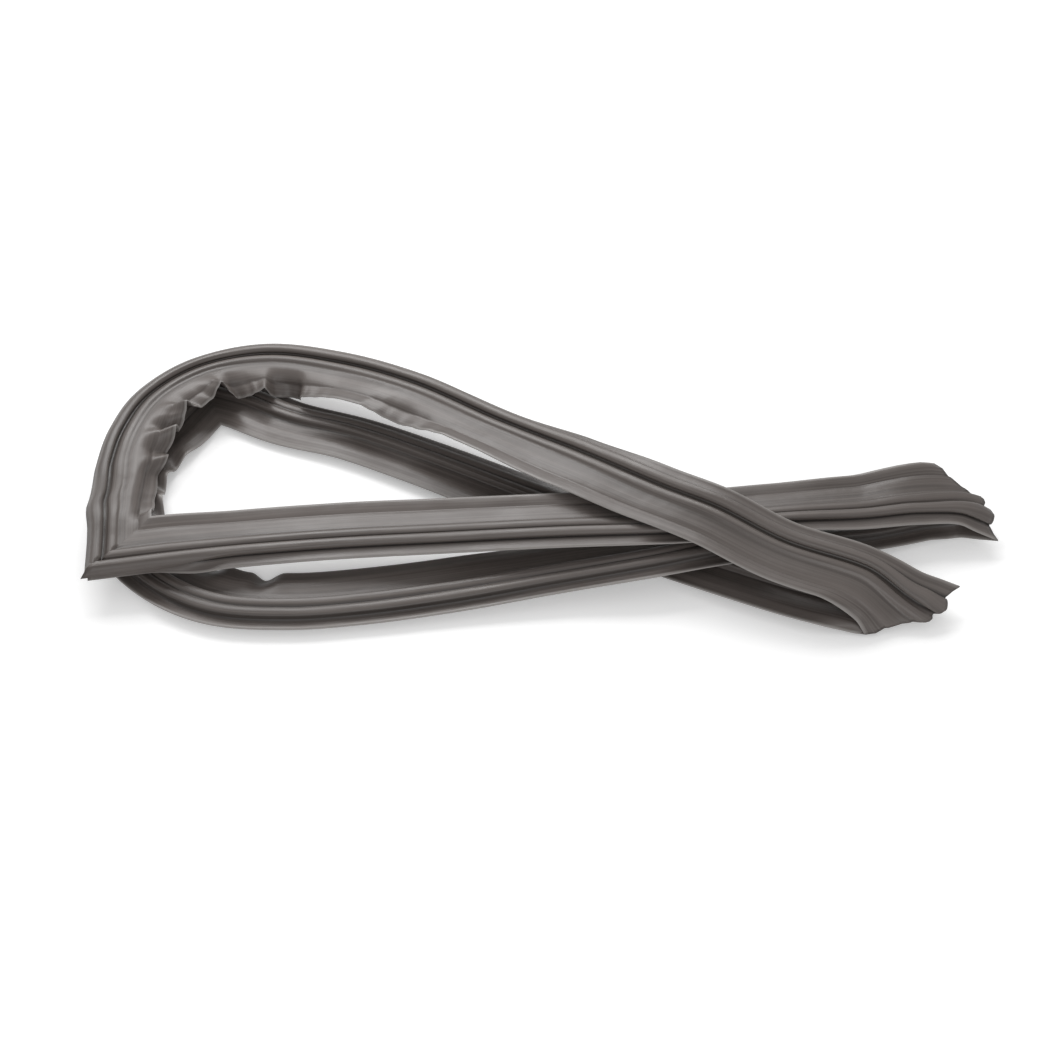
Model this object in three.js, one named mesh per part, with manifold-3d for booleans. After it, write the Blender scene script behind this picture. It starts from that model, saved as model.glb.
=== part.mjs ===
// Refrigerator door gasket, folded for packing: a welded rectangular ring of soft PVC section.
// Millimetres, +Z up. The ring is one closed loft of its section along four sides.
// Two corners (near_left and far_left) are welded flat; at the other two the ring is folded back
// on itself along the 45 degree weld, so that it packs into a long, flat bundle.
import * as THREE from "three";
import Module from "manifold-3d";

const wasm = await Module();
wasm.setup();

// Driving sizes of the section. What lies across it is a share of its width.
const sectionWidth = 44;
const dartInset = sectionWidth * 0.25;
const dartWidth = sectionWidth * 0.11;
const ridgeInset = sectionWidth * 0.385;
const shoulder = sectionWidth * 0.62;
const chamberStart = sectionWidth * 0.205;
const chamberWidth = sectionWidth * 0.295;
const magnetWidth = sectionWidth * 0.19;
const dartHeight = 4.4;
const ridgeHeight = 2.7;
const lipThickness = 1.1;
const chamberDepth = 5;
const flapCurl = 1.6;
const flapThickness = 0.9;
const magnetThickness = chamberDepth * 0.44;
const magnetClearance = 0.35;
const magnetEndGap = 30;
const ventWidth = 1.8;

// The ring and how loosely it is packed.
const shortSide = 520;
const planScale = shortSide / 520;
const stackGap = 0.6;
const foldOpening = 50;
const foldSqueeze = 0.9;
const drapeSpacing = 7.5;

// Heights of the section's base plane: on the floor, and lying over one, two or three strips.
const onFloor = dartHeight + 0.6;
const foldPlane = onFloor + chamberDepth + stackGap;
const overOne = foldPlane + chamberDepth + stackGap;
const crossTwo = onFloor + chamberDepth + dartHeight + 2 * stackGap;
const crossThree = crossTwo + 2 * chamberDepth + 2 * stackGap;
const crossFour = crossThree + chamberDepth + dartHeight + 2 * stackGap;

const up = new THREE.Vector3(0, 0, 1);
const rad = THREE.MathUtils.degToRad;

function vec(x, y, z) {
  return new THREE.Vector3(x, y, z);
}

function smooth(x) {
  const t = THREE.MathUtils.clamp(x, 0, 1);
  return t * t * (3 - 2 * t);
}

// A welded corner. spot: where the dart line crosses the weld; inward: along the weld from the
// outer to the inner corner; facing: where the dart side faces at the weld; opening: 180 is flat.
function makeCorner(spot, inward, facing, opening, droop) {
  const m = inward.clone().normalize();
  const b = facing.clone().addScaledVector(m, -facing.dot(m)).normalize();
  const k = b.clone().cross(m);
  const half = rad(opening / 2);
  const legIn = b.clone().multiplyScalar(-Math.cos(half)).addScaledVector(k, Math.sin(half));
  const legOut = b.clone().multiplyScalar(-Math.cos(half)).addScaledVector(k, -Math.sin(half));
  return {
    spot,
    m,
    b,
    k,
    droop,
    folded: opening < 170,
    rise: Math.sin(half) / Math.SQRT2,
    headingIn: m.clone().add(legIn).multiplyScalar(-Math.SQRT1_2),
    acrossIn: m.clone().sub(legIn).multiplyScalar(Math.SQRT1_2),
    headingOut: m.clone().add(legOut).multiplyScalar(Math.SQRT1_2),
    acrossOut: m.clone().sub(legOut).multiplyScalar(Math.SQRT1_2),
  };
}

function rollOf(heading, across) {
  const z = up.clone().addScaledVector(heading, -up.dot(heading)).normalize();
  const left = z.clone().cross(heading);
  return THREE.MathUtils.radToDeg(Math.atan2(across.dot(z), across.dot(left)));
}

// One side of the ring: a curve through points of the dart line, with the section's roll at each.
// A stop is [x, y, z, lift, droop]: lift is how far the flap is raised, droop how far the outer lip
// is bent down, both in degrees; dartUp tells which way up the section lies.
function makeSide(from, to, stops, dartUp, leadOut, leadIn, drape) {
  const points = [];
  const rolls = [];
  const droops = [];
  const turned = (lift) => (dartUp ? lift : 180 - lift);
  for (const d of [0, ...leadOut]) {
    points.push(from.spot.clone().addScaledVector(from.headingOut, d * planScale));
    rolls.push(rollOf(from.headingOut, from.acrossOut));
    droops.push(from.droop);
  }
  for (const [x, y, z, lift, droop = 0] of stops) {
    points.push(vec(x * planScale, y * planScale, z));
    rolls.push(turned(lift));
    droops.push(droop);
  }
  for (const d of [...leadIn, 0]) {
    points.push(to.spot.clone().addScaledVector(to.headingIn, -d * planScale));
    rolls.push(rollOf(to.headingIn, to.acrossIn));
    droops.push(to.droop);
  }
  for (let i = 1; i < rolls.length; i += 1) {
    while (rolls[i] - rolls[i - 1] > 180) rolls[i] -= 360;
    while (rolls[i] - rolls[i - 1] < -180) rolls[i] += 360;
  }
  const curve = new THREE.CatmullRomCurve3(points, false, "centripetal");
  curve.arcLengthDivisions = 1500;
  const lengths = curve.getLengths();
  const length = lengths[lengths.length - 1];
  const marks = points.map((p, i) => {
    return lengths[Math.round((i / (points.length - 1)) * 1500)];
  });
  return { from, to, curve, length, marks, rolls, droops, drape, hang: dartUp ? -1 : 1 };
}

function between(marks, values, s) {
  let i = 0;
  while (i < marks.length - 2 && marks[i + 1] < s) i += 1;
  return THREE.MathUtils.lerp(values[i], values[i + 1], smooth((s - marks[i]) / (marks[i + 1] - marks[i])));
}

// A value given at each stop, read at any distance along the side.
function valueAt(side, values, along) {
  const { marks } = side;
  return between(marks, values, THREE.MathUtils.clamp(along, 0, side.length));
}

// Position, heading, across (towards the flap) and dart-side normal at a distance along a side.
function frameAt(side, along) {
  const t = THREE.MathUtils.clamp(along / side.length, 0, 1);
  const heading = side.curve.getTangentAt(t);
  const place = side.curve.getPointAt(t).addScaledVector(heading, along - t * side.length);
  const z = up.clone().addScaledVector(heading, -up.dot(heading)).normalize();
  const left = z.clone().cross(heading);
  const roll = rad(valueAt(side, side.rolls, along));
  const across = left.multiplyScalar(Math.cos(roll)).addScaledVector(z, Math.sin(roll));
  const normal = heading.clone().cross(across);
  return { place, across, normal };
}

// The section as [u, v]: u from the outer lip to the flap's free edge, v above the base plane on
// the dart side. It starts at the lip and goes round over the dart side and back underneath.
function sectionOutline() {
  const half = dartWidth / 2;
  const neck = dartWidth * 0.29;
  const ridge = sectionWidth * 0.1;
  const chamberEnd = chamberStart + chamberWidth;
  const middle = chamberStart + chamberWidth / 2;
  const free = sectionWidth;
  const web = lipThickness * 0.5;
  const over = [
    [0, 0],
    [0.7, lipThickness * 0.6],
    [dartInset * 0.42, lipThickness * 0.3],
    [dartInset - half - 0.5, lipThickness * 0.9],
    [dartInset - neck, lipThickness * 0.8],
    [dartInset - half, dartHeight * 0.6],
    [dartInset - half * 0.66, dartHeight * 0.91],
    [dartInset, dartHeight],
    [dartInset + half * 0.66, dartHeight * 0.91],
    [dartInset + half, dartHeight * 0.6],
    [dartInset + neck, lipThickness * 0.8],
    [ridgeInset - ridge * 0.72, lipThickness * 0.8],
    [ridgeInset - ridge * 0.45, ridgeHeight * 0.85],
    [ridgeInset, ridgeHeight],
    [ridgeInset + ridge * 0.45, ridgeHeight * 0.74],
    [ridgeInset + ridge * 0.95, lipThickness * 0.7],
    [shoulder, web],
    [free - 8.5, web + flapCurl * 0.25],
    [free, web + flapCurl],
  ];
  const under = [
    [free - 0.2, web + flapCurl - flapThickness],
    [free - 9, web + flapCurl * 0.25 - flapThickness],
    [shoulder, web - flapThickness],
    [chamberEnd + 1.6, -0.8],
    [chamberEnd, -chamberDepth * 0.5],
    [chamberEnd - 1.1, -chamberDepth * 0.97],
    [middle + 1.1, -chamberDepth],
    [middle, -chamberDepth * 0.82],
    [middle - 1.1, -chamberDepth],
    [chamberStart + 0.4, -chamberDepth * 0.9],
    [chamberStart - 0.3, -0.9],
    [dartInset * 0.42, -0.5],
    [0.7, -lipThickness * 0.5],
  ];
  return [...over, ...under];
}

// The pocket in the section, a rectangle round the magnet with clearance on each side.
function pocketOutline(extra) {
  const u = chamberStart + chamberWidth / 2;
  const v = -chamberDepth * 0.45;
  const a = magnetWidth / 2 + extra;
  const c = magnetThickness / 2 + extra;
  return [
    [u - a, v - c],
    [u - a, v + c],
    [u + a, v + c],
    [u + a, v - c],
  ];
}

// The flap beyond its shoulder hangs and gathers inside a bend, where its free edge is too long:
// it turns about the shoulder by the angle of the side's drape, which swings from fold to fold.
function hungFlap(side, share, u, v) {
  if (!side.drape || u <= shoulder) return [u, v];
  const angle = between(
    side.drape.map((knot) => knot[0]),
    side.drape.map((knot) => knot[1]),
    THREE.MathUtils.clamp(share, side.drape[0][0], side.drape[side.drape.length - 1][0]),
  );
  const reach = u - shoulder;
  const turn = side.hang * rad(angle) * smooth(0.35 + reach / (sectionWidth - shoulder));
  return [shoulder + reach * Math.cos(turn) - v * Math.sin(turn), v * Math.cos(turn) + reach * Math.sin(turn)];
}

// Bends the outer lip down about its root, where the section is pressed at a corner.
function bentLip(u, v, droop) {
  const root = chamberStart - 0.3;
  if (u >= root || droop === 0) return [u, v];
  const turn = rad(droop);
  const x = (u - root) * (1 - 0.004 * droop);
  return [root + x * Math.cos(turn) - v * Math.sin(turn), v * Math.cos(turn) + x * Math.sin(turn)];
}

// A point of the section at a share of the side's length: each line of the section runs from
// weld to weld, so a line nearer the inner corner is shorter.
function pointOn(side, share, sectionU, sectionV) {
  const droop = valueAt(side, side.droops, share * side.length);
  const [hungU, hungV] = hungFlap(side, share, sectionU, sectionV);
  const [u, v] = bentLip(hungU, hungV, droop);
  const offset = u - dartInset;
  const inset = sectionU - dartInset;
  const along = inset + share * (side.length - 2 * inset);
  const frame = frameAt(side, along);
  const fromStart = along - inset;
  const fromEnd = side.length - inset - along;
  const corner = fromStart < fromEnd ? side.from : side.to;
  const away = Math.min(fromStart, fromEnd);
  let depth = v;
  let normal = frame.normal;
  if (corner.folded) {
    normal = corner.b.clone().lerp(frame.normal, smooth(away / (chamberDepth * 2.4))).normalize();
    const room = foldSqueeze + corner.rise * away * 0.75;
    if (v < 0) depth = v * Math.min(1, room / chamberDepth);
  }
  const p = frame.place.addScaledVector(frame.across, offset).addScaledVector(normal, depth);
  const [weldU, weldV] = bentLip(sectionU, sectionV, corner.droop);
  const weld = corner.spot
    .clone()
    .addScaledVector(corner.m, (weldU - dartInset) * Math.SQRT2)
    .addScaledVector(corner.b, weldDepth(corner, weldV));
  const edge = frameAt(side, fromStart < fromEnd ? inset : side.length - inset);
  const drawn = edge.place.addScaledVector(edge.across, weldU - dartInset);
  drawn.addScaledVector(corner.folded ? corner.b : edge.normal, weldDepth(corner, weldV));
  return p.addScaledVector(weld.sub(drawn), 1 - smooth(away / 34));
}

function weldDepth(corner, v) {
  if (!corner.folded || v >= 0) return v;
  return (v * foldSqueeze) / chamberDepth;
}

const nearLeft = makeCorner(vec(-242, -62, overOne + 3), vec(0.6, 0.79, 0.12), vec(0, -0.1, 1), 180, 76);
const farRight = makeCorner(vec(270, -15, foldPlane + 2.5), vec(-0.5, 0.83, 0.24), vec(0.85, 0.49, 0.2), foldOpening, 0);
const farLeft = makeCorner(vec(-210, 131, onFloor + 0.6), vec(0.384, -0.948, 0), vec(0, 0, -1), 180, 0);
const nearRight = makeCorner(vec(231, -77, foldPlane + 1.5), vec(-0.9, -0.375, -0.2), vec(0.42, -0.885, -0.2), foldOpening, 0);

for (const corner of [nearLeft, farRight, farLeft, nearRight]) {
  corner.spot.x *= planScale;
  corner.spot.y *= planScale;
}

// The four sides in order round the ring.
const frontSide = makeSide(
  nearLeft,
  farRight,
  [
    [-158, -48, overOne + 3, 3, 6],
    [-102, -43, overOne + 4, 3],
    [-47, -41, overOne + 6, 2],
    [22, -41, crossThree, 1],
    [100, -37, crossThree, -2],
    [150, -28, crossThree - 1, -4],
    [200, -19, overOne + 5, 2],
    [232, -13, overOne + 4, 8],
  ],
  true,
  [16, 38],
  [14],
);
const lowerSide = makeSide(
  farRight,
  farLeft,
  [
    [236, -12, onFloor + 1, 6],
    [205, -22, onFloor + 2, 0],
    [150, -37, onFloor + 10, -2],
    [110, -47, crossTwo + 1, -2],
    [74, -56, crossTwo, -2],
    [22, -63, onFloor + 5, 2],
    [-40, -74, onFloor + 1, 7],
    [-88, -82, onFloor, 8],
    [-130, -86, onFloor, 8],
    [-172, -82, onFloor, 7],
    [-206, -64, onFloor, 7],
    [-233, -35, onFloor, 8],
    [-247, 2, onFloor, 10],
    [-247, 44, onFloor, 8],
  ],
  false,
  [14],
  [44, 20],
  [
    [0.595, 0],
    [0.616, 20],
    [0.632, 0],
    [0.66, -6],
    [0.69, 18],
    [0.72, -6],
    [0.75, 18],
    [0.78, -4],
    [0.81, 16],
    [0.845, -6],
    [0.865, 14],
    [0.89, -8],
    [0.92, 12],
    [0.945, -6],
    [0.97, 0],
  ],
);
const backSide = makeSide(
  farLeft,
  nearRight,
  [
    [-147, 100, onFloor, 2],
    [-102, 83, onFloor, 4],
    [-57, 60, onFloor, 4],
    [27, 12, onFloor, 3],
    [126, -42, onFloor, 8],
    [182, -65, onFloor, 8],
  ],
  false,
  [18, 40],
  [16],
);
const archSide = makeSide(
  nearRight,
  nearLeft,
  [
    [194, -63, overOne + 9, -14],
    [150, -48, crossFour - 6, -12],
    [112, -27, crossFour + 2, -13],
    [80, -8, crossFour + 1, -10],
    [34, 22, crossFour - 3, -3],
    [-14, 58, crossFour - 8, 4],
    [-68, 95, overOne + 14, 1, 5],
    [-119, 123, overOne + 10, -5, 8],
    [-167, 135, overOne + 8, -3, 10],
    [-209, 123, overOne + 7, 6, 15],
    [-236, 94, overOne + 6, 10, 25],
    [-246, 59, overOne + 5, 12, 40],
    [-247, 14, overOne + 4, 13, 62],
  ],
  true,
  [14],
  [42, 18],
  [
    [0.44, 0],
    [0.5, 38],
    [0.545, 18],
    [0.585, 14],
    [0.625, 42],
    [0.66, 4],
    [0.7, 50],
    [0.724, 8],
    [0.765, 60],
    [0.8, -12],
    [0.84, 40],
    [0.87, 44],
    [0.893, 22],
    [0.915, 58],
    [0.965, 44],
    [0.995, 0],
  ],
);

// Shares of a side's length at which its section is drawn: close at the welds, where the heading
// turns and on every knot of a drape, wide apart on the straights.
function sharesOf(side) {
  const near = side.from.folded ? [2, 5, 9, 14, 20, 28] : [4, 14, 30];
  const far = side.to.folded ? [2, 5, 9, 14, 20, 28] : [4, 14, 30];
  const shares = [0, ...near.map((d) => d / side.length)];
  const last = 1 - far[far.length - 1] / side.length;
  const knots = (side.drape || []).map((knot) => knot[0]);
  let share = shares[shares.length - 1];
  while (share < last) {
    const here = side.curve.getTangentAt(share);
    const ahead = side.curve.getTangentAt(Math.min(1, share + 20 / side.length));
    const bend = Math.max(here.angleTo(ahead) / 20, 0.0004);
    let step = THREE.MathUtils.clamp(1.6 * Math.sqrt(0.9 / bend), drapeSpacing, 42);
    if (share >= knots[0] && share < knots[knots.length - 1]) step = drapeSpacing;
    let next = share + step / side.length;
    const knot = knots.find((k) => k > share + 0.001 && k < next + (0.4 * step) / side.length);
    if (knot) next = knot;
    share = next;
    if (share < last - drapeSpacing / 3 / side.length) shares.push(share);
  }
  const rest = far.slice().reverse();
  return [...shares, ...rest.map((d) => 1 - d / side.length)];
}

function solidFrom(points, triangles) {
  const data = new Float32Array(points.length * 3);
  points.forEach((p, i) => data.set([p.x, p.y, p.z], i * 3));
  const mesh = new wasm.Mesh({ numProp: 3, vertProperties: data, triVerts: new Uint32Array(triangles) });
  return new wasm.Manifold(mesh);
}

// Joins rings of equal count into a skin, the last ring on to the first when it is closed. From the
// point called turn on, the quads are split the other way, so that a thin flap keeps its thickness.
function skin(rings, closed, turn = 0) {
  const count = rings[0].length;
  const triangles = [];
  const spans = closed ? rings.length : rings.length - 1;
  for (let i = 0; i < spans; i += 1) {
    const a = i * count;
    const b = ((i + 1) % rings.length) * count;
    for (let j = 0; j < count; j += 1) {
      const k = (j + 1) % count;
      if (j < turn) triangles.push(a + j, b + j, a + k, a + k, b + j, b + k);
      else triangles.push(a + j, b + j, b + k, a + j, b + k, a + k);
    }
  }
  return triangles;
}

// A bar of four-sided section between two shares of a side, capped at both ends.
function barAlong(side, outline, from, to) {
  const shares = sharesOf(side).filter((s) => s > from + 0.002 && s < to - 0.002);
  const rings = [from, ...shares, to].map((s) => outline.map(([u, v]) => pointOn(side, s, u, v)));
  const triangles = skin(rings, false);
  const last = (rings.length - 1) * 4;
  triangles.push(0, 2, 3, 0, 1, 2);
  triangles.push(last, last + 2, last + 1, last, last + 3, last + 2);
  return solidFrom(rings.flat(), triangles);
}

function ringBody(sides) {
  const outline = sectionOutline();
  const freeEdge = outline.findIndex(([u]) => u === sectionWidth);
  const rings = [];
  for (const side of sides) {
    for (const share of sharesOf(side)) rings.push(outline.map(([u, v]) => pointOn(side, share, u, v)));
  }
  return solidFrom(rings.flat(), skin(rings, true, freeEdge));
}

// The small slot in the pocket's floor, through which its air can leave.
function ventOutline() {
  const u = chamberStart + chamberWidth / 2 + 2.6;
  return [
    [u - ventWidth / 2, -chamberDepth - 1],
    [u - ventWidth / 2, -chamberDepth * 0.45],
    [u + ventWidth / 2, -chamberDepth * 0.45],
    [u + ventWidth / 2, -chamberDepth - 1],
  ];
}

const sides = { front: frontSide, lower: lowerSide, back: backSide, arch: archSide };
const nodes = new Map();
let gasket = ringBody(Object.values(sides));
for (const [name, side] of Object.entries(sides)) {
  const end = magnetEndGap / side.length;
  const play = (2 * magnetClearance) / side.length;
  const slot = ventWidth / side.length;
  gasket = gasket.subtract(barAlong(side, pocketOutline(magnetClearance), end, 1 - end));
  gasket = gasket.subtract(barAlong(side, ventOutline(), 2 * end, 2 * end + slot));
  nodes.set("magnet_" + name, barAlong(side, pocketOutline(0), end + play, 1 - end - play));
}
nodes.set("gasket", gasket);

function geometryOf(solid) {
  const mesh = solid.getMesh();
  const geometry = new THREE.BufferGeometry();
  geometry.setAttribute("position", new THREE.BufferAttribute(new Float32Array(mesh.vertProperties), 3));
  geometry.setIndex(new THREE.BufferAttribute(new Uint32Array(mesh.triVerts), 1));
  geometry.computeVertexNormals();
  return geometry;
}

const ferrite = new THREE.MeshStandardMaterial({ name: "brown_ferrite", color: 0x33271f, roughness: 0.8 });
const pvc = new THREE.MeshStandardMaterial({ name: "grey_pvc", color: 0x6e6962, roughness: 0.5 });

const group = new THREE.Group();
group.name = "refrigerator_door_gasket";
for (const [name, solid] of nodes) {
  const mesh = new THREE.Mesh(geometryOf(solid), name === "gasket" ? pvc : ferrite);
  mesh.name = name;
  group.add(mesh);
}

const box = new THREE.Box3().setFromObject(group);
const shift = vec(-(box.min.x + box.max.x) / 2, -(box.min.y + box.max.y) / 2, -box.min.z);
for (const mesh of group.children) mesh.geometry.translate(shift.x, shift.y, shift.z);
group.userData.shift = shift.toArray();
group.userData.lengths = Object.fromEntries(Object.entries(sides).map(([n, s]) => [n, s.length]));

export default group;
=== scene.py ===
# Refrigerator door gasket, folded for packing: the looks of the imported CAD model.
import math

import bmesh
import bpy
import numpy as np
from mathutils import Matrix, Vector


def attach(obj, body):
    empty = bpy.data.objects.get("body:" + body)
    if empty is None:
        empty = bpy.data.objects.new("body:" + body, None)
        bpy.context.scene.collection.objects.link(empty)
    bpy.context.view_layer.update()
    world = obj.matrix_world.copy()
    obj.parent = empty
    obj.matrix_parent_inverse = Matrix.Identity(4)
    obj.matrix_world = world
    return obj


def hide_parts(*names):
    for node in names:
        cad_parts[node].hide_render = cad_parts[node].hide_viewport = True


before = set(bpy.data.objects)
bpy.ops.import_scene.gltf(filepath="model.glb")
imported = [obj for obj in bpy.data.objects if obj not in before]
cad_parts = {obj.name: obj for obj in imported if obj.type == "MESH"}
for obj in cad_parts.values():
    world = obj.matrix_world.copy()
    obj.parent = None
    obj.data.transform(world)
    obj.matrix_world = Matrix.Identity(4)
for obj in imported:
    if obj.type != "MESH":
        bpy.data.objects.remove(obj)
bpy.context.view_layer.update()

# The gasket's section. It is one soft grey PVC extrusion, drawn through a die, so every groove and
# bead runs unbroken along it: the outer lip, the dart that presses into the door's groove, a second
# ridge, and the wide flap; on the other face the chamber that holds the magnet strip. Millimetres.
section_width = 44.0
dart_inset = section_width * 0.25
dart_width = section_width * 0.148
ridge_inset = section_width * 0.45
shoulder = section_width * 0.62
chamber_start = section_width * 0.205
chamber_width = section_width * 0.295
dart_height = 4.4
ridge_height = 2.3
lip_thickness = 1.1
chamber_depth = 5.0
flap_curl = 1.6
flap_thickness = 0.9


def extruded_section():
    """The die's outline as [u, v], rounded: u from the outer lip to the flap's free edge."""
    half = dart_width / 2
    ridge = section_width * 0.065
    chamber_end = chamber_start + chamber_width
    middle = chamber_start + chamber_width / 2
    free = section_width
    web = lip_thickness * 0.5
    crease = (shoulder + free) / 2
    knots = [
        (0, 0),
        (0.5, lip_thickness * 0.52),
        (dart_inset * 0.36, lip_thickness * 0.3),
        (dart_inset - half - 0.9, lip_thickness * 0.75),
        (dart_inset - half - 0.1, lip_thickness * 0.8),
        (dart_inset - half * 0.82, lip_thickness * 0.75),
        (dart_inset - half * 0.98, dart_height * 0.36),
        (dart_inset - half, dart_height * 0.55),
        (dart_inset - half * 0.8, dart_height * 0.86),
        (dart_inset - half * 0.35, dart_height * 0.98),
        (dart_inset + half * 0.2, dart_height),
        (dart_inset + half * 0.7, dart_height * 0.9),
        (dart_inset + half, dart_height * 0.62),
        (dart_inset + half * 0.98, dart_height * 0.38),
        (dart_inset + half * 0.8, lip_thickness * 0.6),
        (ridge_inset - ridge - 0.5, lip_thickness * 0.5),
        (ridge_inset - ridge, ridge_height * 0.62),
        (ridge_inset - ridge * 0.8, ridge_height * 0.82),
        (ridge_inset + ridge * 0.3, ridge_height),
        (ridge_inset + ridge * 0.8, ridge_height * 0.72),
        (ridge_inset + ridge * 1.15, lip_thickness * 0.65),
        (shoulder - 1.5, web + 0.1),
        (shoulder + 1.5, web + 0.05),
        (crease - 1.2, web + 0.1),
        (crease, web - 0.35),
        (crease + 1.2, web + 0.1),
        (free - 4, web + flap_curl * 0.6),
        (free - 0.3, web + flap_curl),
        (free, web + flap_curl - flap_thickness * 0.5),
        (free - 0.4, web + flap_curl - flap_thickness),
        (free - 4, web + flap_curl * 0.6 - flap_thickness),
        (crease, web - 0.35 - flap_thickness),
        (shoulder, web - flap_thickness),
        (chamber_end + 1.6, -0.8),
        (chamber_end + 0.3, -1.3),
        (chamber_end, -chamber_depth * 0.5),
        (chamber_end - 0.3, -chamber_depth * 0.86),
        (chamber_end - 1.3, -chamber_depth),
        (middle + 1.2, -chamber_depth),
        (middle, -chamber_depth * 0.82),
        (middle - 1.2, -chamber_depth),
        (chamber_start + 0.9, -chamber_depth),
        (chamber_start, -chamber_depth * 0.8),
        (chamber_start - 0.3, -0.9),
        (dart_inset * 0.36, -0.5),
        (0.6, -lip_thickness * 0.5),
    ]
    points = np.array(knots, float)
    before = np.roll(points, 1, axis=0)
    after = np.roll(points, -1, axis=0)
    beyond = np.roll(points, -2, axis=0)
    spans = np.sqrt(np.linalg.norm(after - points, axis=1))
    first = np.sqrt(np.linalg.norm(points - before, axis=1))
    last = np.sqrt(np.linalg.norm(beyond - after, axis=1))
    rounded = []
    for i in range(len(points)):
        a, b, c, d = before[i], points[i], after[i], beyond[i]
        leave = ((b - a) / first[i] - (c - a) / (first[i] + spans[i]) + (c - b) / spans[i]) * spans[i]
        arrive = ((c - b) / spans[i] - (d - b) / (spans[i] + last[i]) + (d - c) / last[i]) * spans[i]
        for t in (0.0, 0.5):
            curve = b + leave * t + (3 * (c - b) - 2 * leave - arrive) * t**2 + (2 * (b - c) + leave + arrive) * t**3
            rounded.append(curve)
    return np.array(rounded)


# The ring. Four lengths of the section are mitred and welded at the corners; two corners lie flat
# and at the other two the ring is folded back on itself along its weld. It lies loosely on the
# floor, its strands crossing four deep, as it comes out of its packing.
short_side = 520.0
plan_scale = short_side / 520.0
stack_gap = 0.6
samples_per_stop = 160
weld_reach = 34
station_gap = 3.6
draped_station_gap = 2.3
fold_squeeze = 0.9
fold_opening = 50.0
fold_bulge = 9.0
on_floor = dart_height + 0.6
fold_plane = on_floor + chamber_depth + stack_gap
over_one = fold_plane + chamber_depth + stack_gap
cross_two = on_floor + chamber_depth + dart_height + 2 * stack_gap
cross_three = cross_two + 2 * chamber_depth + 2 * stack_gap
cross_four = cross_three + chamber_depth + dart_height + 2 * stack_gap


def unit(v):
    return v / np.linalg.norm(v, axis=-1, keepdims=True)


def ease(x):
    x = np.clip(x, 0.0, 1.0)
    return x * x * (3 - 2 * x)


def welded_corner(spot, inward, facing, opening, droop):
    """A corner at the dart line's spot; inward runs along the weld, facing is the dart side's way."""
    spot = np.array(spot, float) * (plan_scale, plan_scale, 1)
    m = unit(np.array(inward, float))
    facing = np.array(facing, float)
    b = unit(facing - m * (facing @ m))
    k = np.cross(b, m)
    half = math.radians(opening / 2)
    leg_in = -b * math.cos(half) + k * math.sin(half)
    leg_out = -b * math.cos(half) - k * math.sin(half)
    return dict(
        spot=spot, m=m, b=b, droop=droop, folded=opening < 170, rise=math.sin(half) / math.sqrt(2),
        heading_in=-(m + leg_in) / math.sqrt(2), across_in=(m - leg_in) / math.sqrt(2),
        heading_out=(m + leg_out) / math.sqrt(2), across_out=(m - leg_out) / math.sqrt(2),
    )


def roll_of(heading, across):
    up = np.array((0.0, 0.0, 1.0))
    z = unit(up - heading * heading[2])
    return math.degrees(math.atan2(across @ z, across @ np.cross(z, heading)))


def laid_side(start, end, stops, dart_up, lead_out, lead_in, drape=None, lean=None):
    """One side of the ring as a smooth route of its dart line, with the roll and droop at each stop."""
    points, rolls, droops = [], [], []
    for d in (0, *lead_out):
        points.append(start["spot"] + start["heading_out"] * d * plan_scale)
        rolls.append(roll_of(start["heading_out"], start["across_out"]))
        droops.append(start["droop"])
    for x, y, z, lift, *droop in stops:
        points.append(np.array((x * plan_scale, y * plan_scale, z)))
        rolls.append(lift if dart_up else 180 - lift)
        droops.append(droop[0] if droop else 0)
    for d in (*lead_in, 0):
        points.append(end["spot"] - end["heading_in"] * d * plan_scale)
        rolls.append(roll_of(end["heading_in"], end["across_in"]))
        droops.append(end["droop"])
    rolls = np.degrees(np.unwrap(np.radians(rolls)))
    points = np.array(points)
    padded = np.vstack((2 * points[0] - points[1], points, 2 * points[-1] - points[-2]))
    t = np.linspace(0, 1, samples_per_stop, endpoint=False)[:, None]
    route, slope = [], []
    for a, b, c, d in zip(padded, padded[1:], padded[2:], padded[3:]):
        f, g, h = (np.sqrt(np.linalg.norm(q - p)) for p, q in ((a, b), (b, c), (c, d)))
        leave = ((b - a) / f - (c - a) / (f + g) + (c - b) / g) * g
        arrive = ((c - b) / g - (d - b) / (g + h) + (d - c) / h) * g
        square = 3 * (c - b) - 2 * leave - arrive
        cube = 2 * (b - c) + leave + arrive
        route.append(b + leave * t + square * t**2 + cube * t**3)
        slope.append(leave + 2 * square * t + 3 * cube * t**2)
    route = np.vstack((*route, points[-1]))
    slope = np.vstack((*slope, slope[-1][-1]))
    reach = np.concatenate(([0], np.cumsum(np.linalg.norm(np.diff(route, axis=0), axis=1))))
    return dict(
        start=start, end=end, route=route, heading=unit(slope), reach=reach, length=reach[-1],
        marks=reach[::samples_per_stop], rolls=rolls, droops=np.array(droops, float), drape=drape, lean=lean,
        hang=-1 if dart_up else 1,
    )


def between(marks, values, s):
    s = np.clip(s, marks[0], marks[-1])
    i = np.clip(np.searchsorted(marks, s) - 1, 0, len(marks) - 2)
    share = ease((s - marks[i]) / (marks[i + 1] - marks[i]))
    return values[i] + (values[i + 1] - values[i]) * share


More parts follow.
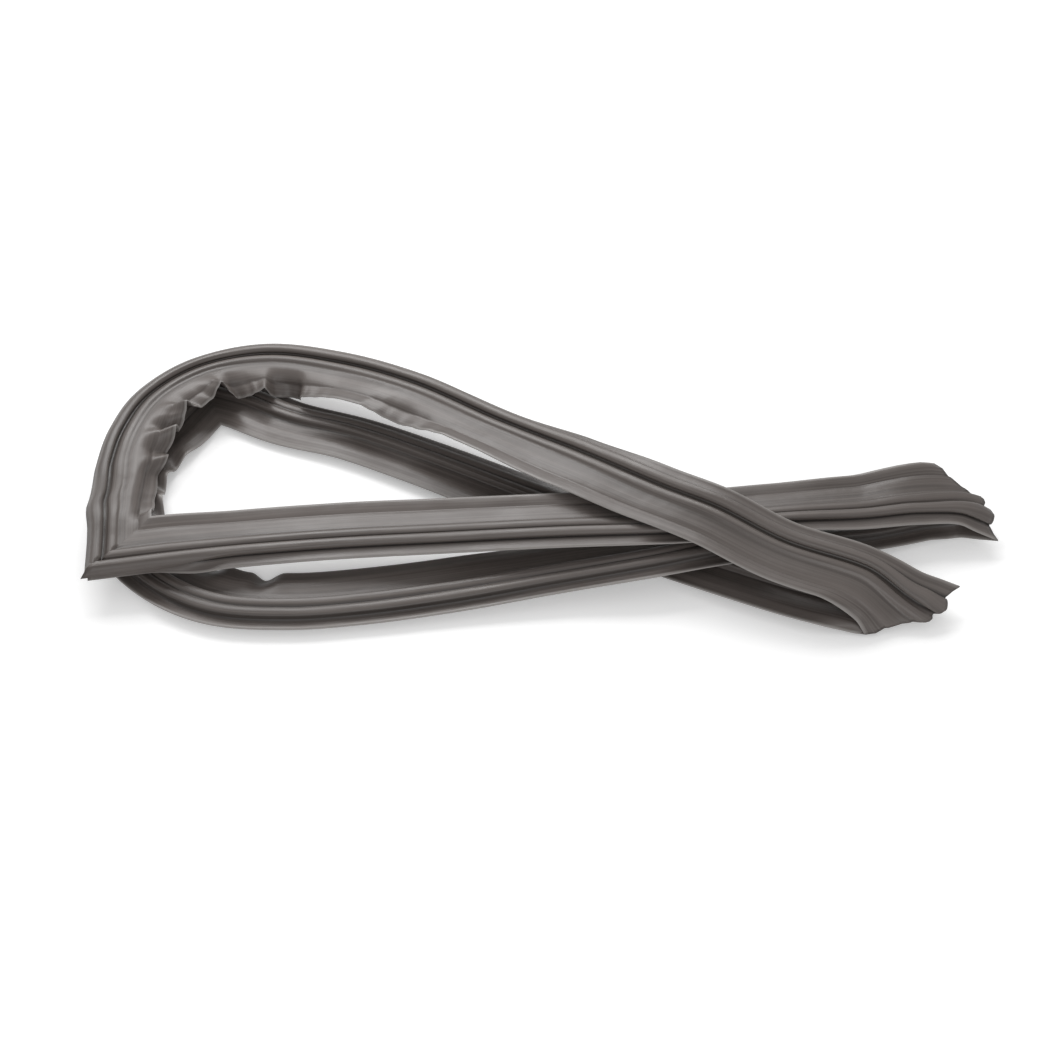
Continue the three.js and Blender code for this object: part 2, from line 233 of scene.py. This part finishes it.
def along_side(side, s):
    """Place, across direction and dart-side normal at distances s along a side."""
    held = np.clip(s, 0, side["length"])
    place = np.stack([np.interp(held, side["reach"], side["route"][:, k]) for k in range(3)], axis=-1)
    heading = unit(np.stack([np.interp(held, side["reach"], side["heading"][:, k]) for k in range(3)], axis=-1))
    place = place + heading * (s - held)[..., None]
    up = np.array((0.0, 0.0, 1.0))
    z = unit(up - heading * heading[..., 2:])
    left = np.cross(z, heading)
    roll = np.radians(between(side["marks"], side["rolls"], s))[..., None]
    across = left * np.cos(roll) + z * np.sin(roll)
    return place, across, np.cross(heading, across)


def hung_flap(side, share, u, v):
    """The flap beyond its shoulder hangs and gathers inside a bend, where its edge is too long."""
    if side["drape"] is None:
        return u, v
    knots = np.array(side["drape"], float)
    angle = np.radians(between(knots[:, 0], knots[:, 1], share))
    reach = np.maximum(u - shoulder, 0)
    turn = side["hang"] * angle * ease(0.35 + reach / (section_width - shoulder)) * (u > shoulder)
    hung_u = shoulder + reach * np.cos(turn) - v * np.sin(turn)
    hung_v = v * np.cos(turn) + reach * np.sin(turn)
    return np.where(u > shoulder, hung_u, u), np.where(u > shoulder, hung_v, v)


def leaning(side, share, plain_u, u, v):
    """The soft dart side leans over its chamber, outwards where the lean is above zero."""
    if side["lean"] is None:
        return u
    knots = np.array(side["lean"], float)
    lean = between(knots[:, 0], knots[:, 1], share)
    part = 1 - ease((plain_u - ridge_inset) / (section_width - ridge_inset))
    over_chamber = (v < -0.7) & (plain_u > chamber_start - 0.5) & (plain_u < chamber_start + chamber_width + 2)
    return u - lean * np.where(over_chamber, 0, part)


def bent_lip(u, v, droop):
    """The outer lip bends down about its root, by droop in degrees, and shortens a little."""
    root = chamber_start - 0.3
    turn = np.radians(droop) * (u < root)
    x = (u - root) * np.where(u < root, 1 - 0.004 * droop, 1)
    return root + x * np.cos(turn) - v * np.sin(turn), v * np.cos(turn) + x * np.sin(turn)


def weld_depth(corner, v):
    return np.where(v < 0, v * fold_squeeze / chamber_depth, v) if corner["folded"] else v


def fold_bow(corner, u):
    """How far a folded weld bows outwards: the chambers inside the fold hold it open."""
    if not corner["folded"]:
        return 0 * u
    marks = np.array((0, 0.16, 0.25, 0.43, 0.57, 0.7, 0.89, 1)) * section_width
    bows = np.array((0, 0.15, 0.58, 1, 0.72, 0.48, 0.3, 0)) * fold_bulge
    return between(marks, bows, u)


def swept(side, shares, outline):
    """Every outline point at every share of a side: each line runs from weld to weld."""
    share = shares[:, None] + 0 * outline[:, 0]
    plain_u, plain_v = outline[:, 0] + 0 * share, outline[:, 1] + 0 * share
    droop = between(side["marks"], side["droops"], share * side["length"])
    u, v = bent_lip(*hung_flap(side, share, plain_u, plain_v), droop)
    inset = plain_u - dart_inset
    along = inset + share * (side["length"] - 2 * inset)
    place, across, normal = along_side(side, along)
    from_start, from_end = along - inset, side["length"] - inset - along
    swept_points = np.zeros(place.shape)
    for corner, near, edge_at in (
        (side["start"], from_start < from_end, inset),
        (side["end"], from_start >= from_end, side["length"] - inset),
    ):
        away = np.minimum(from_start, from_end)
        depth, facing = v, normal
        if corner["folded"]:
            turn = ease(away / (chamber_depth * 2.4))[..., None]
            facing = unit(corner["b"] * (1 - turn) + normal * turn)
            room = fold_squeeze + corner["rise"] * away * 0.75
            depth = np.where(v < 0, v * np.minimum(1, room / chamber_depth), v)
        leant = leaning(side, share, plain_u, u, plain_v)
        point = place + across * (leant - dart_inset)[..., None] + facing * depth[..., None]
        weld_u, weld_v = bent_lip(plain_u, plain_v, corner["droop"])
        deep = weld_depth(corner, weld_v)[..., None]
        out = deep + fold_bow(corner, plain_u)[..., None]
        weld = corner["spot"] + corner["m"] * ((weld_u - dart_inset) * math.sqrt(2))[..., None] + corner["b"] * out
        edge, edge_across, edge_normal = along_side(side, edge_at)
        drawn = edge + edge_across * (weld_u - dart_inset)[..., None]
        drawn = drawn + (corner["b"] if corner["folded"] else edge_normal) * deep
        point = point + (weld - drawn) * (1 - ease(away / weld_reach))[..., None]
        swept_points[near] = point[near]
    return swept_points


near_left = welded_corner((-240.8, -62, over_one + 3), (0.6, 0.79, 0.12), (0, -0.1, 1), 180, 84)
far_right = welded_corner((270, -15, fold_plane + 2.5), (-0.5, 0.83, 0.24), (0.85, 0.49, 0.2), fold_opening, 0)
far_left = welded_corner((-210, 131, on_floor + 0.6), (0.384, -0.948, 0), (0, 0, -1), 180, 0)
near_right = welded_corner((231, -77, fold_plane + 1.5), (-0.9, -0.375, -0.2), (0.42, -0.885, -0.2), fold_opening, 0)

front_side = laid_side(
    near_left, far_right,
    [
        (-158, -48, over_one + 3, 3, 6),
        (-102, -43, over_one + 4, 3),
        (-47, -41, over_one + 6, 2),
        (22, -41, cross_three, 1),
        (100, -37, cross_three, -2),
        (150, -28, cross_three - 1, -4),
        (200, -19, over_one + 5, 2),
        (232, -13, over_one + 4, 8),
    ],
    True, (16, 38), (14,),
)
lower_side = laid_side(
    far_right, far_left,
    [
        (236, -12, on_floor + 1, 6),
        (205, -22, on_floor + 2, 0),
        (150, -37, on_floor + 10, -2),
        (110, -47, cross_two + 1, -2, 6),
        (74, -56, cross_two, -2, 10),
        (22, -63, on_floor + 5, 2, 16),
        (-40, -74, on_floor + 1, 7, 18),
        (-88, -82, on_floor, 8, 18),
        (-130, -86, on_floor, 8, 18),
        (-172, -82, on_floor, 7, 18),
        (-206, -64, on_floor, 7, 18),
        (-233, -35, on_floor, 8, 16),
        (-247, 2, on_floor, 10, 8),
        (-247, 44, on_floor, 8),
    ],
    False, (14,), (44, 20),
    [
        (0.595, 0), (0.616, 20), (0.632, 0), (0.66, -6), (0.69, 18), (0.72, -6), (0.75, 18), (0.78, -4),
        (0.81, 16), (0.845, -6), (0.865, 14), (0.89, -8), (0.92, 12), (0.945, -6), (0.97, 0),
    ],
)
back_side = laid_side(
    far_left, near_right,
    [
        (-147, 100, on_floor, 2),
        (-102, 83, on_floor, 4),
        (-57, 60, on_floor, 4),
        (27, 12, on_floor, 3),
        (126, -42, on_floor, 8),
        (182, -65, on_floor, 8),
    ],
    False, (18, 40), (16,),
)
arch_side = laid_side(
    near_right, near_left,
    [
        (194, -63, over_one + 9, -14),
        (150, -48, cross_four - 6, -12),
        (112, -27, cross_four + 2, -13),
        (80, -8, cross_four + 1, -10),
        (34, 22, cross_four - 3, -3, 8),
        (-14, 58, cross_four - 8, 4, 14),
        (-68, 95, over_one + 14, 2, 20),
        (-119, 123, over_one + 10, -2, 22),
        (-167, 135, over_one + 8, -1, 22),
        (-209, 123, over_one + 7, 6, 22),
        (-236, 94, over_one + 6, 10, 30),
        (-246, 59, over_one + 5, 12, 40),
        (-247, 14, over_one + 4, 13, 70),
    ],
    True, (14,), (42, 18),
    [
        (0.425, 0), (0.44, 6), (0.46, 18), (0.485, 31), (0.5, 27), (0.515, 16), (0.53, 8), (0.56, 6),
        (0.58, 9), (0.597, 16), (0.61, 24), (0.622, 70), (0.634, 74), (0.65, 60), (0.662, 8), (0.68, 22),
        (0.69, 37), (0.708, 56), (0.718, 22), (0.73, -12), (0.74, 0), (0.757, 24), (0.778, 36), (0.79, 21),
        (0.803, -6), (0.82, 14), (0.836, 56), (0.85, 12), (0.872, 64), (0.888, 44), (0.906, 74), (0.94, 60),
        (0.968, 36), (0.99, 0),
    ],
    [(0.2, 0), (0.34, 6), (0.5, 5.5), (0.66, 5), (0.8, 4.5), (0.87, 4.5), (0.925, 0), (0.955, -2.5), (1, -2)],
)

# How far the drawn ring is moved to stand centred on the floor, as the CAD model is.
centring = np.array((-9.018, -24.349, -0.391))

outline = extruded_section()
rings, distances, covered = [], [], 0.0
for side in (front_side, lower_side, back_side, arch_side):
    steps = int(side["length"] / (station_gap if side["drape"] is None else draped_station_gap))
    shares = np.linspace(0, 1, steps + 1)[:-1]
    rings.append(swept(side, shares, outline))
    distances.append(covered + shares * side["length"])
    covered += side["length"]
rings = np.concatenate(rings) + centring
distances = np.append(np.concatenate(distances), covered) / 1000
stations, around = rings.shape[:2]
closed_outline = np.vstack((outline, outline[:1]))
girth = np.concatenate(([0], np.cumsum(np.linalg.norm(np.diff(closed_outline, axis=0), axis=1)))) / 1000

# A flat web of soft PVC is rolled up into the section and led round the ring, then its two seams
# are welded shut, so the whole gasket is one closed skin with its lengthwise lines in its UV map.
bm = bmesh.new()
lay = bm.loops.layers.uv.new("lay")
edge_highlight_wear_layer = bm.verts.layers.float.new("painted_edge_highlight_and_wear")
sunk = bm.verts.layers.float.new("groove")
bmesh.ops.create_grid(bm, x_segments=stations, y_segments=around, size=0.5, calc_uvs=True)
# Painted highlight with wear: the outer lip's tip and the flap's free edge are painted much lighter, standing in for
# the bright lines that light draws along these edges.
edge_highlight_and_wear = np.maximum(1 - outline[:, 0] / 1.1, 1 - (section_width - outline[:, 0]) / 1.0).clip(0, 1)
dart_side = outline[:, 1] > 0
# Painted shade with dust: the grooves beside the dart and the ridge, at the shoulder and along the chamber are
# painted nearly black, standing in for the shade that falls in them.
grooves = [dart_inset - dart_width * 0.5, dart_inset + dart_width * 0.55, ridge_inset + 4.4, shoulder]
depths = [1.0, 1.0, 0.35, 0.2]
groove_shade_and_dust = np.zeros(len(outline))
for groove_at, depth in zip(grooves, depths):
    near = np.exp(-((outline[:, 0] - groove_at) / 0.9) ** 2) * depth
    low = outline[:, 1] < lip_thickness * 1.6
    groove_shade_and_dust = np.maximum(groove_shade_and_dust, near * (dart_side & low))
for groove_at in (chamber_start + chamber_width / 2, chamber_start - 0.4, chamber_start + chamber_width + 1):
    near = np.exp(-((outline[:, 0] - groove_at) / 0.8) ** 2) * 0.8
    groove_shade_and_dust = np.maximum(groove_shade_and_dust, near * ~dart_side)
for vert in bm.verts:
    i = round((vert.co.x + 0.5) * stations) % stations
    j = round((vert.co.y + 0.5) * around) % around
    vert.co = Vector(rings[i, j] / 1000)
    vert[edge_highlight_wear_layer] = edge_highlight_and_wear[j]
    vert[sunk] = groove_shade_and_dust[j]
for face in bm.faces:
    for loop in face.loops:
        share = loop[lay].uv
        i = round(share.x * stations)
        j = round(share.y * around)
        loop[lay].uv = (distances[i], girth[j])
    face.smooth = True
bmesh.ops.remove_doubles(bm, verts=bm.verts[:], dist=1e-6)
if bm.calc_volume(signed=True) < 0:
    bmesh.ops.reverse_faces(bm, faces=bm.faces[:])
gasket_mesh = bpy.data.meshes.new("gasket_skin")
bm.to_mesh(gasket_mesh)
bm.free()
gasket = bpy.data.objects.new("gasket_skin", gasket_mesh)
bpy.context.scene.collection.objects.link(gasket)

pvc = bpy.data.materials.new("grey_pvc")
pvc.use_nodes = True
nodes, links = pvc.node_tree.nodes, pvc.node_tree.links
shader = nodes["Principled BSDF"]
shader.inputs["IOR"].default_value = 1.53
lay_map = nodes.new("ShaderNodeUVMap")
lay_map.uv_map = "lay"
place = nodes.new("ShaderNodeTexCoord")


def drawn_lines(along, across, detail):
    """Noise stretched along the strip, as a die leaves it; sizes in metres."""
    mapping = nodes.new("ShaderNodeMapping")
    mapping.inputs["Scale"].default_value = (1 / along, 1 / across, 1)
    links.new(lay_map.outputs["UV"], mapping.inputs["Vector"])
    noise = nodes.new("ShaderNodeTexNoise")
    noise.inputs["Scale"].default_value = 1
    noise.inputs["Detail"].default_value = detail
    noise.inputs["Roughness"].default_value = 0.55
    links.new(mapping.outputs["Vector"], noise.inputs["Vector"])
    return noise.outputs["Fac"]


def clouded(size, detail):
    noise = nodes.new("ShaderNodeTexNoise")
    noise.inputs["Scale"].default_value = 1 / size
    noise.inputs["Detail"].default_value = detail
    links.new(place.outputs["Object"], noise.inputs["Vector"])
    return noise.outputs["Fac"]


def blended(share, first, second):
    """Colour first where share is 0 and second where it is 1."""
    mix = nodes.new("ShaderNodeMix")
    mix.data_type = "RGBA"
    links.new(share, mix.inputs["Factor"])
    for value, socket in ((first, mix.inputs["A"]), (second, mix.inputs["B"])):
        if isinstance(value, tuple):
            socket.default_value = (*value, 1)
        else:
            links.new(value, socket)
    return mix.outputs["Result"]


def stretched(value, low, high, to_low, to_high):
    span = nodes.new("ShaderNodeMapRange")
    links.new(value, span.inputs["Value"])
    for name, number in (("From Min", low), ("From Max", high), ("To Min", to_low), ("To Max", to_high)):
        span.inputs[name].default_value = number
    return span.outputs["Result"]


def painted(name):
    attribute = nodes.new("ShaderNodeAttribute")
    attribute.attribute_name = name
    return attribute.outputs["Fac"]


fine_lines = drawn_lines(0.12, 0.0011, 3)
broad_lines = drawn_lines(0.3, 0.006, 2)
haze = clouded(0.045, 4)
body_colour = blended(stretched(broad_lines, 0.32, 0.68, 0, 1), (0.068, 0.056, 0.05), (0.135, 0.115, 0.105))
line_colour = blended(stretched(fine_lines, 0.4, 0.75, 0, 0.6), body_colour, (0.18, 0.158, 0.146))
hazy_colour = blended(stretched(haze, 0.45, 0.8, 0, 0.4), line_colour, (0.15, 0.13, 0.12))
# Painted shade with dust: the groove attribute darkens the grooves almost to black.
shade_and_dust_colour = blended(stretched(painted("groove"), 0, 1, 0, 0.9), hazy_colour, (0.02, 0.017, 0.015))
# Painted highlight with wear: the free edges are painted much lighter than the body.
skin_colour = blended(stretched(painted("painted_edge_highlight_and_wear"), 0, 1, 0, 0.75), shade_and_dust_colour, (0.4, 0.38, 0.365))
links.new(skin_colour, shader.inputs["Base Color"])
links.new(stretched(haze, 0.3, 0.75, 0.32, 0.5), shader.inputs["Roughness"])

line_bump = nodes.new("ShaderNodeBump")
line_bump.inputs["Strength"].default_value = 0.5
line_bump.inputs["Distance"].default_value = 0.00012
links.new(fine_lines, line_bump.inputs["Height"])
handled = nodes.new("ShaderNodeBump")
handled.inputs["Strength"].default_value = 0.6
handled.inputs["Distance"].default_value = 0.0012
links.new(clouded(0.022, 2), handled.inputs["Height"])
links.new(line_bump.outputs["Normal"], handled.inputs["Normal"])
links.new(handled.outputs["Normal"], shader.inputs["Normal"])
gasket_mesh.materials.append(pvc)

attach(gasket, "root")
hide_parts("gasket")

# The four magnet strips: flexible ferrite in a rubber binder, rolled and slit, brown-black and
# matt. One is slid into the chamber of each side before the corners are welded, so none shows.
ferrite = bpy.data.materials.new("brown_ferrite")
ferrite.use_nodes = True
nodes, links = ferrite.node_tree.nodes, ferrite.node_tree.links
shader = nodes["Principled BSDF"]
place = nodes.new("ShaderNodeTexCoord")
grain = clouded(0.0006, 3)
patches = clouded(0.012, 3)
ferrite_colour = blended(stretched(patches, 0.35, 0.7, 0, 1), (0.028, 0.021, 0.017), (0.05, 0.038, 0.03))
grained_colour = blended(stretched(grain, 0.5, 0.75, 0, 0.6), ferrite_colour, (0.085, 0.068, 0.055))
links.new(grained_colour, shader.inputs["Base Color"])
links.new(stretched(grain, 0.3, 0.7, 0.62, 0.85), shader.inputs["Roughness"])
rolled = nodes.new("ShaderNodeBump")
rolled.inputs["Strength"].default_value = 0.4
rolled.inputs["Distance"].default_value = 0.0001
links.new(grain, rolled.inputs["Height"])
links.new(rolled.outputs["Normal"], shader.inputs["Normal"])
for name in ("magnet_front", "magnet_lower", "magnet_back", "magnet_arch"):
    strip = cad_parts[name]
    for slot in strip.material_slots:
        slot.material = ferrite

# The floor is a plain white table top that keeps the gasket's soft shadow.
bm = bmesh.new()
bmesh.ops.create_grid(bm, x_segments=1, y_segments=1, size=4)
floor_mesh = bpy.data.meshes.new("table_top")
bm.to_mesh(floor_mesh)
bm.free()
floor = bpy.data.objects.new("table_top", floor_mesh)
bpy.context.scene.collection.objects.link(floor)
white = bpy.data.materials.new("white_table")
white.use_nodes = True
nodes, links = white.node_tree.nodes, white.node_tree.links
shader = nodes["Principled BSDF"]
shader.inputs["Base Color"].default_value = (0.9, 0.9, 0.9, 1)
shader.inputs["Roughness"].default_value = 0.9
shader.inputs["Specular IOR Level"].default_value = 0.0
shader.inputs["Emission Color"].default_value = (1, 1, 1, 1)
seen = nodes.new("ShaderNodeLightPath")
lift = nodes.new("ShaderNodeMath")
lift.operation = "MULTIPLY"
lift.inputs[1].default_value = 0.3
links.new(seen.outputs["Is Camera Ray"], lift.inputs[0])
links.new(lift.outputs["Value"], shader.inputs["Emission Strength"])
floor_mesh.materials.append(white)

# Soft studio light: a wide lamp overhead and behind, a weaker one in front, and a pale room.
def soft_lamp(name, spot, aim, size, power):
    lamp = bpy.data.lights.new(name, "AREA")
    lamp.shape = "RECTANGLE"
    lamp.size, lamp.size_y = size
    lamp.energy = power
    holder = bpy.data.objects.new(name, lamp)
    holder.location = spot
    holder.rotation_euler = (Vector(aim) - Vector(spot)).to_track_quat("-Z", "Y").to_euler()
    bpy.context.scene.collection.objects.link(holder)


soft_lamp("overhead", (-0.3, 1.1, 1.15), (0, 0, 0), (1.6, 0.8), 19)
soft_lamp("front", (0.1, -1.5, 0.9), (0, 0, 0), (1.6, 0.9), 6)
room = bpy.data.worlds.new("pale_room")
room.use_nodes = True
room.node_tree.nodes["Background"].inputs["Color"].default_value = (1, 1, 1, 1)
room.node_tree.nodes["Background"].inputs["Strength"].default_value = 0.48
bpy.context.scene.world = room

# The camera stands where the photograph's stood: 0.9 m away and 42 degrees above the table.
lens = bpy.data.cameras.new("camera")
lens.lens = 51.8
lens.sensor_width = 36
camera = bpy.data.objects.new("camera", lens)
aim = Vector(centring / 1000)
distance, height = 0.9, math.radians(42)
camera.location = aim + Vector((0, -distance * math.cos(height), distance * math.sin(height)))
camera.rotation_euler = (aim - camera.location).to_track_quat("-Z", "Y").to_euler()
bpy.context.scene.collection.objects.link(camera)
bpy.context.scene.camera = camera
bpy.context.scene.view_settings.view_transform = "Standard"
